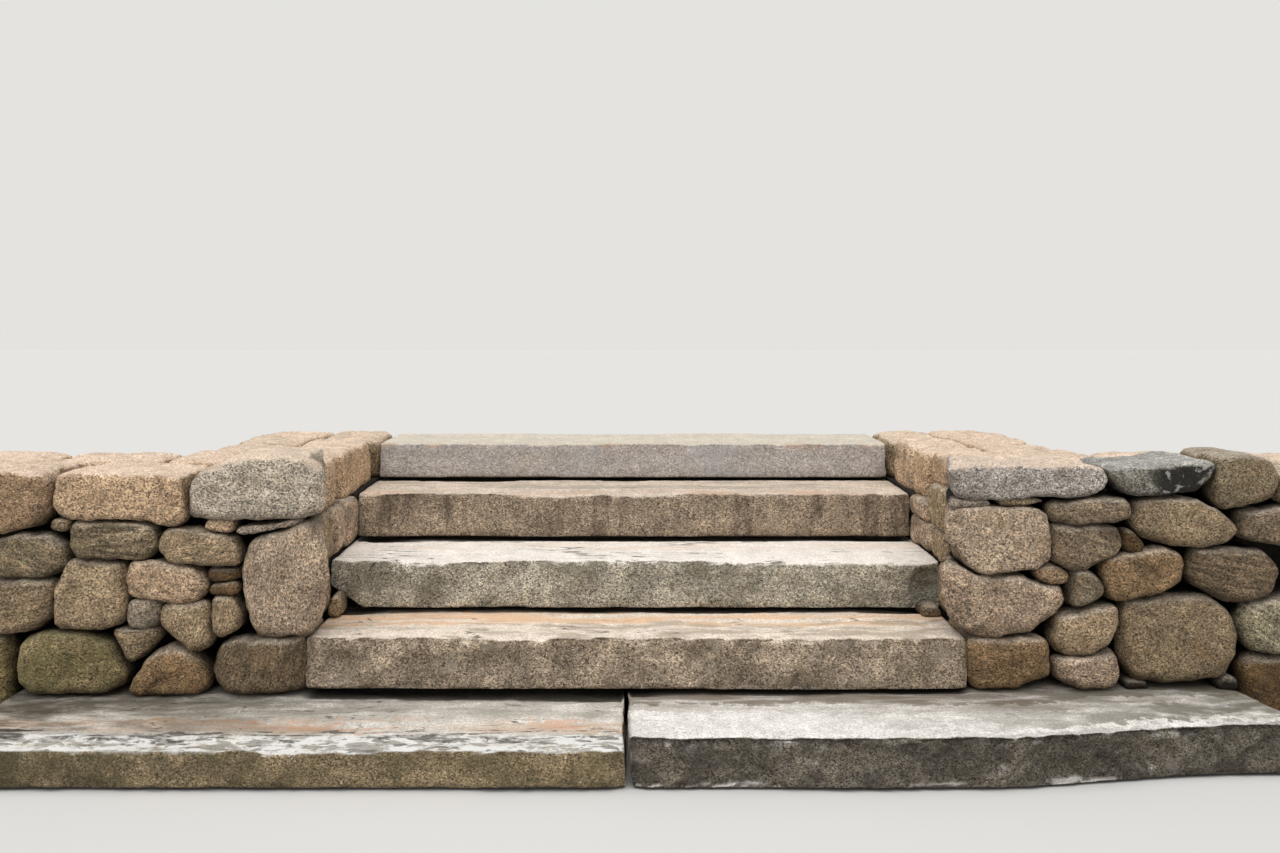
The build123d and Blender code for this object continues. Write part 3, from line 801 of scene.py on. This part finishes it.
# %% [markdown]
# ## Right wall
# The same courses on the other hand, with squarer corner stones, and one cap that lichen has
# spotted black and white. Its tones are a little greyer and browner than on the left, so they are
# listed anew and not mirrored.

# %% Right corner and caps
finished("right_corner_cap", [("cool_grey", 0.1, 0)], "front top inner",
         wear=SQUARE, chips=4, base=capping)
finished("right_corner_block", [("speckled", 0.0, 0)], "front inner", wear=SQUARE, chips=4)
finished("right_corner_lower_block", [("pink_tan", 0.35, -20)], "front inner",
         wear=SQUARE, chips=3)
finished("right_corner_foot", [("brown", 0.1, 0)], "front inner", chips=4)
finished("right_top_stones", [("lichen_grey", 0.2, 0), ("grey_olive", 0.1, 0), ("tan", 0.2, 0)],
         "front top", chips=3, skins={0: lichened})

# %% Right courses
finished("right_upper_stones", [
    ("grey_brown", 0.5, -12), ("grey_brown", 0.4, 4), ("grey_tan", 0.1, 0),
    ("grey_brown", 0.2, 0)], "front")
finished("right_middle_stones", [
    ("tan", 0.1, 0), ("grey_green", 0.3, -8), ("brown", 0.3, -20), ("plum", 0.7, -12),
    ("silver_green", 0.6, -30)], "front")
finished("right_lower_stones", [("pink_tan", 0.2, 0), ("grey_tan", 0.0, 0), ("umber", 0.2, 0)],
         "front")
finished("right_pinning", [
    ("plum", 0.2, 0), ("pale_slate", 0.4, 0), ("grey_tan", 0.4, 0), ("light_brown", 0.2, 0),
    ("umber", 0.0, 0), ("soot", 0.4, 0), ("soot", 0.0, 0)], "front", chips=1, chip_depth=0.004)

# %% [markdown]
# ## Returns, caps and the faces against the bank
# Behind each corner a return runs back beside the flight, under flat caps. Its inner side shows
# above the treads, its outer side and the wall's back lie against the bank. The hidden faces take
# their tones from one mixed pile in turn, because nobody chose stones for looks there.

# %% Returns and hidden faces
MIXED = [("tan", 0.1, 0), ("honey", 0.1, 0), ("brown", 0.3, 10), ("pink_tan", 0.1, 0),
         ("grey_brown", 0.4, -8), ("speckled", 0.2, 70), ("grey_buff", 0.1, 0)]
for hand in ("left", "right"):
    finished(f"{hand}_return_inner_stones", [("tan", 0.2, 70), ("pink_tan", 0.3, 75)], "inner")
    finished(f"{hand}_return_caps", [("honey", 0.1, 0), ("tan", 0.1, 0), ("pale_buff", 0.2, 0)],
             "inner top outer back", wear=SQUARE, grain=CAP_GRAIN, base=capping)
    finished(f"{hand}_wall_rear_caps", [("pale_buff", 0.2, 0), ("honey", 0.1, 0)],
             "top back outer", wear=SQUARE, grain=CAP_GRAIN, base=capping)
    finished(f"{hand}_return_outer_stones", MIXED, "outer back", grain=HIDDEN_GRAIN)
    finished(f"{hand}_wall_rear_stones", MIXED, "back", grain=HIDDEN_GRAIN)
    finished(f"{hand}_wall_end_stones", MIXED, "outer front back top", grain=HIDDEN_GRAIN)
finished("flight_rear_stones", MIXED, "back outer", grain=HIDDEN_GRAIN)

# %% [markdown]
# ## Treads
# Each tread is one slab, split off a bigger block with a row of wedges. Splitting leaves a scooped
# face, a ragged arris where flakes have come off and a top that parts in thin layers. The slab is
# remeshed, and then every vertex is moved by what it is: face, top, arris, foot or end. A displace
# modifier could push the surface by one texture, but it can't tell an arris from a face.

# %% Front and end of the right lowest slab
# In metres. The front runs straight for one metre and then recedes, where the frame's solid recedes
# by an even slope. The outer end splays out in front and tapers in behind
RECEDES, RECESS, FRAME_SLOPE = (1.0, 1.78), 0.09, 0.0786
SPLAYS, SPLAY_OUT, TAPER = (1.5, 1.93), 0.062, 0.112


def slab_front(node_name, low, x):
    """Where the front lies. The right slab of the lowest course recedes towards its outer end."""
    return low.y + (RECESS * smooth_step(x, *RECEDES) if node_name == "tread_1_right" else 0.0)


def bend_outer_end(slab):
    """Gives the slab that front and end, inside the frame's box."""
    low, high = corners(slab)
    for vertex in slab.verts:
        drawn = low.y + max(0.0, vertex.co.x) * FRAME_SLOPE
        behind = (vertex.co.y - drawn) / (high.y - drawn)
        front = slab_front("tread_1_right", low, vertex.co.x)
        vertex.co.y = front + behind * (high.y - front)
        vertex.co.x += smooth_step(vertex.co.x, *SPLAYS) * (SPLAY_OUT - TAPER * behind)


print("the right slab's front recedes by", round(1000 * RECESS), "mm")

# %% Scars of splitting
# The scoops of a split face as widths in metres with their shares of its relief
SCOOPED = ((0.15, 1.1), (0.06, 0.7), (0.03, 0.4))
# The top's layers are long and narrow, and end where the noise passes these levels
LAYER_LENGTH, LAYER_WIDTH = 0.45, 0.11
LAYER_ENDS = ((0.02, 0.6), (0.22, 0.4))
LAYER_SLOPE = 0.03
CRUMB, CRUMB_WIDTH = 0.0015, 0.03


def face_move(here, relief, scoops, place):
    """How far the split face lies behind its ridges, and behind them in its bigger scoops."""
    depth = relief * sum(share * abs(noise.noise(here / width)) for width, share in SCOOPED)
    for x, z, width, height, deep in scoops:
        off = ((place.x - x) / width) ** 2 + ((place.z - z) / height) ** 2
        depth += deep * max(0.0, 1 - off)
    return depth


def top_move(here, relief, sag):
    """How far the top lies under its highest layer. The layers end in low steps."""
    sheet = noise.noise(Vector((here.x / LAYER_LENGTH, here.y / LAYER_WIDTH, here.z)))
    step = sum(share * smooth_step(sheet, end, end + LAYER_SLOPE) for end, share in LAYER_ENDS)
    wave = noise.noise(Vector((here.x / 0.6, here.y / 0.3, 1.0)))
    return relief * step + sag * (0.5 + 0.5 * wave) + CRUMB * noise.noise(here / CRUMB_WIDTH)


def flaked(x, seed, width):
    """How much has flaked off an edge at a point along it, from 0 to about 1."""
    return max(0.0, 0.2 + noise.noise(Vector((x / width, 0.3, seed)))
               + 0.6 * noise.noise(Vector((x / (0.3 * width), 2.3, seed))))


def under_tread(place, over, before, after):
    """How near a point is to the front of the tread that lies over it, from 0 to 1 behind it."""
    if not over:
        return 0.0
    low, high = over
    beside = min(place.x - low.x, high.x - place.x)
    return smooth_step(place.y, low.y - before, low.y - after) * smooth_step(beside, -0.03, 0.03)


print("a split face lies back by up to", sum(share for width, share in SCOOPED), "reliefs")

# %% Split slabs
SLAB_GRAIN = 0.009
SLAB_TONES = {"tread_1_left": "#b9a380", "tread_1_right": "#a19684", "tread_2": "#d1bca2",
              "tread_3": "#d8cfbb", "tread_4": "#baa68e", "tread_5": "#b5ada6"}
# How far in from the slab's edges their wear reaches, in metres
ARRIS_HEIGHT, FOOT_HEIGHT, FRONT_DEPTH, CORNER_WIDTH = 0.045, 0.05, 0.06, 0.05
FLAKE_WIDTH, SPALL_WIDTH = 0.10, 0.14
FOOT_DROP = 0.006
# Ends are ragged, and stay this far off the next slab at its nearest and at the other edge
END_RELIEF, SEAM_GAP, SEAM_SPREAD = 0.006, 0.003, 0.008
# How far the top sinks under the next tread, what its ends and noise add, and how long the ends are
SINK, SINK_AT_ENDS, SINK_NOISE, END_LENGTH = 0.008, 0.012, 0.006, 0.25
DEEP_SCOOP = 0.018
# The band of fresh stone along an arris ends between these distances behind the front
BENCH_DEPTHS = (0.075, 0.10)


def split_slab(node_name, material, seed, face_relief, top_relief, arris_chips, foot_chips,
               sag=0.003, scoops=(), seam=0, toe=0.012, lip=0.0, above=None):
    """Shapes a tread and lays it. Reliefs and chips are depths in metres, scoops are x, z, half
    width, half height and depth, and seam is the side, -1 or 1, on which the next slab lies close.
    Toe is how far the foot stands out in front, and lip how far the arris stands up. Above is the
    tread that lies on this one. The two only touch here and there, so a dark gap shows."""
    slab = evenly_meshed(single_stones(node_name)[0], SLAB_GRAIN)
    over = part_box(above) if above else None
    drop = FOOT_DROP if toe else 0.0
    if node_name == "tread_1_right":
        bend_outer_end(slab)
    low, high = corners(slab)
    start = Vector((seed * 7.1, seed * 3.3, seed * 5.7))
    slab.normal_update()
    before = [(vertex.co.copy(), vertex.normal.copy()) for vertex in slab.verts]
    arris, behind, carved = [], [], []
    for vertex, (place, outward) in zip(slab.verts, before):
        here = place + start
        front = slab_front(node_name, low, place.x)
        from_end = min(place.x - low.x, high.x - place.x)
        height = (place.z - low.z) / (high.z - low.z)

        # Where on the slab this vertex is, each from 0 to 1
        at_top = 1 - smooth_step(high.z - place.z, 0.0, ARRIS_HEIGHT)
        at_front = 1 - smooth_step(place.y - front, 0.0, FRONT_DEPTH)
        at_foot = at_front * (1 - smooth_step(place.z - low.z, 0.0, FOOT_HEIGHT))
        at_corner = at_front * (1 - smooth_step(from_end, 0.0, CORNER_WIDTH))
        edge = at_top * at_front

        # Flakes off the arris, spalls off the foot, and the scoops of the face
        loss = arris_chips * edge * flaked(place.x, seed, FLAKE_WIDTH)
        spall = foot_chips * at_foot * flaked(place.x, seed + 5, SPALL_WIDTH)
        scooped = smooth_step(-outward.y, 0.3, 0.85) * face_move(here, face_relief, scoops, place)
        forward = toe * (1 - smooth_step(height, 0.1, 0.7)) * at_front

        # Ends are ragged, and the seam between two slabs is wider at one edge
        side = smooth_step(abs(outward.x), 0.4, 0.9) * math.copysign(1, outward.x)
        ragged = END_RELIEF * noise.noise(Vector((seed, here.y / 0.09, here.z / 0.05)))
        lean = height if seam < 0 else 1 - height
        close = SEAM_GAP + SEAM_SPREAD * lean if side * seam > 0 else 0.0

        # The top parts in layers, and sinks under the next tread
        sink = under_tread(place, over, 0.05, 0.012) * (
            SINK + SINK_AT_ENDS * (1 - smooth_step(from_end, 0.0, END_LENGTH))
            + SINK_NOISE * noise.noise(here / 0.3))
        layer = smooth_step(outward.z, 0.5, 0.9) * (top_move(here, top_relief, sag) + sink)

        vertex.co = in_box(place + Vector((
            side * (ragged + close),
            scooped + loss + 0.7 * spall + 0.6 * arris_chips * at_corner - forward,
            0.35 * spall - drop * at_foot - 0.8 * loss - layer + lip * edge)))
        arris.append(edge)
        behind.append(place.y - front)
        carved.append(scooped / DEEP_SCOOP)
    bmesh.ops.smooth_vert(slab, verts=slab.verts, factor=0.2, use_axis_x=True, use_axis_y=True,
                          use_axis_z=True)
    mark(slab, linear(SLAB_TONES[node_name]), 0.0, Euler((0, 0, 0)), start)
    write(slab, "arris", arris)
    write(slab, "behind", behind)
    write(slab, "carved", carved)
    # Painted shade: darker along the bottom 30 mm, and from just in front of the tread above to
    # under it
    write(slab, "painted_shade", [max(0.5 * (1 - smooth_step(place.z - low.z, 0.0, 0.03)),
                             1.6 * under_tread(place, over, 0.012, -0.004))
                         for place, outward in before])
    # Painted shade: faces that look down are painted near black
    write(slab, "soil_and_shade", [smooth_step(-vertex.normal.z, 0.5, 0.9) for vertex in slab.verts])
    write(slab, "outward", [smooth_step(abs(place.x), 0.3, 1.9) for place, outward in before])
    write(slab, "foot", [1 - smooth_step((place.z - low.z) / (high.z - low.z), 0.0, 0.6)
                         for place, outward in before])
    foremost = corners(slab)[0].y
    write(slab, "bench", [smooth_step(vertex.normal.z, 0.55, 0.85)
                          * (1 - smooth_step(vertex.co.y - foremost, *BENCH_DEPTHS))
                          for vertex in slab.verts])
    gathered(node_name, "_split", [slab], [material])


print("slabs:", len(SLAB_TONES))

# %% [markdown]
# ## The lowest course
# Two long slabs lie on the ground. The left one is mossy in front, and frost has lifted a white,
# ragged band of fresh stone along its arris. The right one has weathered to charcoal on its rough
# face, while its top is scrubbed nearly white.

# %% Lowest course, left slab
mossy = stone_material("mossy_split_granite", pale="#e8e2d8", pale_share=0.95, top_grain=0.35)
wash(mossy, "#6b6242", 0.55, "face", (5, 5, 9), 0.42, 0.62)
wash(mossy, "#514a35", 0.5, "foot", (9, 9, 14), 0.45, 0.65)
wash(mossy, "#cfb298", 0.7, "sky", (1.6, 14, 14), 0.40, 0.62, (0.10, 0.20))
wash(mossy, "#e2ac87", 0.6, "sky", (2.0, 26, 26), 0.5, 0.62, (0.11, 0.18))
wash(mossy, "#8d867a", 0.62, "sky", (5, 18, 18), 0.3, 0.72, (0.2, 0.5))
wash(mossy, "#625a4b", 0.88, "outward", (5, 14, 14), 0.3, 0.6, (0.055, 0.9))
# Painted shadow and dirt: a dark strip at the rear of the top towards the outer end, by the wall
wash(mossy, "#4a4234", 0.7, "outward", (8, 20, 20), 0.35, 0.6, (0.26, 0.9))
wash(mossy, "#4c4930", 0.65, "outward", (6, 6, 9), 0.35, 0.6, (-0.08, 0.03))
wash(mossy, "#f1efea", 0.9, "bench", (7, 24, 24), 0.38, 0.48)
wash(mossy, "#8a8374", 0.7, "bench", (14, 40, 40), 0.49, 0.58)
wash(mossy, "#5a5348", 0.7, "bench", (13, 50, 50), 0.55, 0.6)
wash(mossy, "#39332a", 0.8, "sky", (6, 60, 60), 0.5, 0.56, (0.075, 0.115))
cracks(mossy, 0.75, "sky", (3.0, 22, 22), 0.016)
soiled_and_shaded(mossy)

split_slab("tread_1_left", mossy, 1, face_relief=0.014, top_relief=0.007, arris_chips=0.016,
           foot_chips=0.005, seam=1, toe=0.0, lip=0.020, above="tread_2")

# %% Lowest course, right slab
charcoal = stone_material("charcoal_faced_granite", pale="#f4efe8", pale_share=0.97, relief=0.011,
                          top_grain=0.35)
wash(charcoal, "#4a4641", 0.5, "face", (9, 9, 12), 0.45, 0.6)
wash(charcoal, "#b5ada2", 0.5, "face", (15, 15, 22), 0.58, 0.66)
wash(charcoal, "#8f8471", 0.7, "sky", (3, 14, 14), 0.28, 0.72, (0.2, 0.9))
# Painted shadow and dirt: a brown strip at the rear of the top, under the front of the tread above
wash(charcoal, "#6a5a42", 0.75, "sky", (4, 20, 20), 0.3, 0.55, (0.27, 0.9))
wash(charcoal, "#797364", 0.92, "outward", (5, 14, 14), 0.3, 0.6, (0.08, 0.9))
wash(charcoal, "#3f3a33", 0.5, "outward", (6, 6, 9), 0.35, 0.6, (-0.08, 0.05))
cracks(charcoal, 0.35, "sky", (3.0, 20, 20), 0.010)
soiled_and_shaded(charcoal)

split_slab("tread_1_right", charcoal, 2, face_relief=0.034, top_relief=0.003, arris_chips=0.020,
           foot_chips=0.004, seam=-1, toe=0.0, above="tread_2", scoops=[
               (0.28, 0.06, 0.16, 0.06, 0.02), (0.75, 0.09, 0.2, 0.05, 0.018),
               (1.3, 0.06, 0.25, 0.07, 0.02)])

# %% [markdown]
# ## Second to fifth tread
# The same quarry, but each slab has its own history: tan and lumpy, grey-green with slanting
# cracks, brown with dark runs, and the top one nearly fresh and grey.

# %% Second tread
tan_granite = stone_material("tan_split_granite", pale="#f2e3d1", pale_share=0.97, top_grain=0.35)
wash(tan_granite, "#6a5b46", 0.4, "face", (6, 6, 9), 0.5, 0.64)
wash(tan_granite, "#cfc4b2", 0.4, "face", (12, 12, 14), 0.56, 0.66)
wash(tan_granite, "#efc093", 0.7, "sky", (1.8, 24, 24), 0.42, 0.54, (0.15, 0.33))
wash(tan_granite, "#a6977f", 0.6, "sky", (4, 14, 14), 0.46, 0.58, (0.02, 0.2))
cracks(tan_granite, 0.8, "sky", (2.6, 17, 17), 0.014)
soiled_and_shaded(tan_granite)

split_slab("tread_2", tan_granite, 3, face_relief=0.018, top_relief=0.006, arris_chips=0.018,
           foot_chips=0.005, toe=0.02, above="tread_3", scoops=[
               (-0.70, 0.21, 0.10, 0.07, 0.02), (-0.94, 0.22, 0.09, 0.06, 0.014),
               (-0.42, 0.25, 0.12, 0.06, 0.010), (0.35, 0.2, 0.2, 0.07, 0.008)])

# %% Third tread
green_granite = stone_material("grey_green_split_granite", pale="#f8efe4", pale_share=0.98,
                               top_grain=0.25)
wash(green_granite, "#77715a", 0.5, "face", (5, 5, 7), 0.46, 0.62)
wash(green_granite, "#d4cdbf", 0.35, "face", (14, 14, 18), 0.56, 0.66)
wash(green_granite, "#ecd0b6", 0.4, "sky", (2.0, 12, 12), 0.47, 0.6, (0.18, 0.4))
cracks(green_granite, 0.75, "face", (7, 7, 26), 0.014, 0.7)
cracks(green_granite, 0.9, "sky", (2.2, 20, 20), 0.02)
soiled_and_shaded(green_granite)

split_slab("tread_3", green_granite, 4, face_relief=0.013, top_relief=0.006, arris_chips=0.014,
           foot_chips=0.006, above="tread_4", scoops=[(1.03, 0.40, 0.07, 0.075, 0.03)])

# %% Fourth tread
brown_granite = stone_material("brown_split_granite", pale="#ddccb9", pale_share=0.96,
                               top_grain=0.45)
wash(brown_granite, "#4d3f34", 0.6, "face", (14, 14, 1.6), 0.48, 0.66)
wash(brown_granite, "#c3ab90", 0.4, "face", (8, 8, 5), 0.54, 0.66)
wash(brown_granite, "#d9a987", 0.5, "sky", (3, 12, 12), 0.45, 0.6, (-0.05, 0.1))
wash(brown_granite, "#a89c8d", 0.6, "sky", (2.4, 12, 12), 0.45, 0.6, (0.14, 0.4))
cracks(brown_granite, 0.6, "sky", (2.4, 20, 20), 0.014)
soiled_and_shaded(brown_granite)

split_slab("tread_4", brown_granite, 5, face_relief=0.009, top_relief=0.005, arris_chips=0.012,
           foot_chips=0.005, above="tread_5")

# %% Fifth tread
fresh_granite = stone_material("sawn_grey_granite", pale="#d8cdba", pale_share=0.95, clouds=0.1,
                               contrast=0.7, relief=0.003, top_grain=0.5, pits=0.3)
wash(fresh_granite, "#bcbdbf", 0.35, "face", (1.6, 1.6, 3), 0.48, 0.62)
wash(fresh_granite, "#c4b295", 0.3, "face", (2.4, 2.4, 5), 0.54, 0.66)
wash(fresh_granite, "#c79a72", 0.4, "arris", (5, 9, 9), 0.48, 0.62)
soiled_and_shaded(fresh_granite)

split_slab("tread_5", fresh_granite, 6, face_relief=0.003, top_relief=0.004, arris_chips=0.009,
           foot_chips=0.003, sag=0.010)

# %% [markdown]
# ## Packing
# The wall's heart is rubble and soil, dark where it can be seen between the stones. The frame's own
# solids are right for it, so they stay and only get a finish.

# %% Packed rubble
CRUMB_OF_SOIL = 0.03
rubble, tree, earth = matt("packed_rubble_and_soil", 0.95)
place = add(tree, "TexCoord", {}, ()).outputs["Object"]
crumbs = add(tree, "TexVoronoi", {}, {"Vector": place, "Scale": 1 / CRUMB_OF_SOIL})
tint = add(tree, "ValToRGB", {}, (crumbs,))
tint.color_ramp.elements[0].color = linear("#2b241c")
tint.color_ramp.elements[1].color = linear("#120f0c")
heap = add(tree, "Bump", {"invert": True}, {"Height": crumbs, "Distance": 0.01})
tree.links.new(tint.outputs["Color"], earth.inputs["Base Color"])
tree.links.new(heap.outputs["Normal"], earth.inputs["Normal"])
for name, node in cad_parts.items():
    if name.startswith("bed_") or name.endswith("_packing"):
        node.data.materials.clear()
        node.data.materials.append(rubble)
        print("packing:", name)

# %% [markdown]
# ## Size and the count of triangles
# The weathered stones must not stand past the box that the frame's solids fill. The box was
# measured before anything was added, and every moved vertex is kept inside it. The triangles of
# all the weathered pieces are counted here.

# %% Count of triangles
print("triangles in all:", sum(totals))
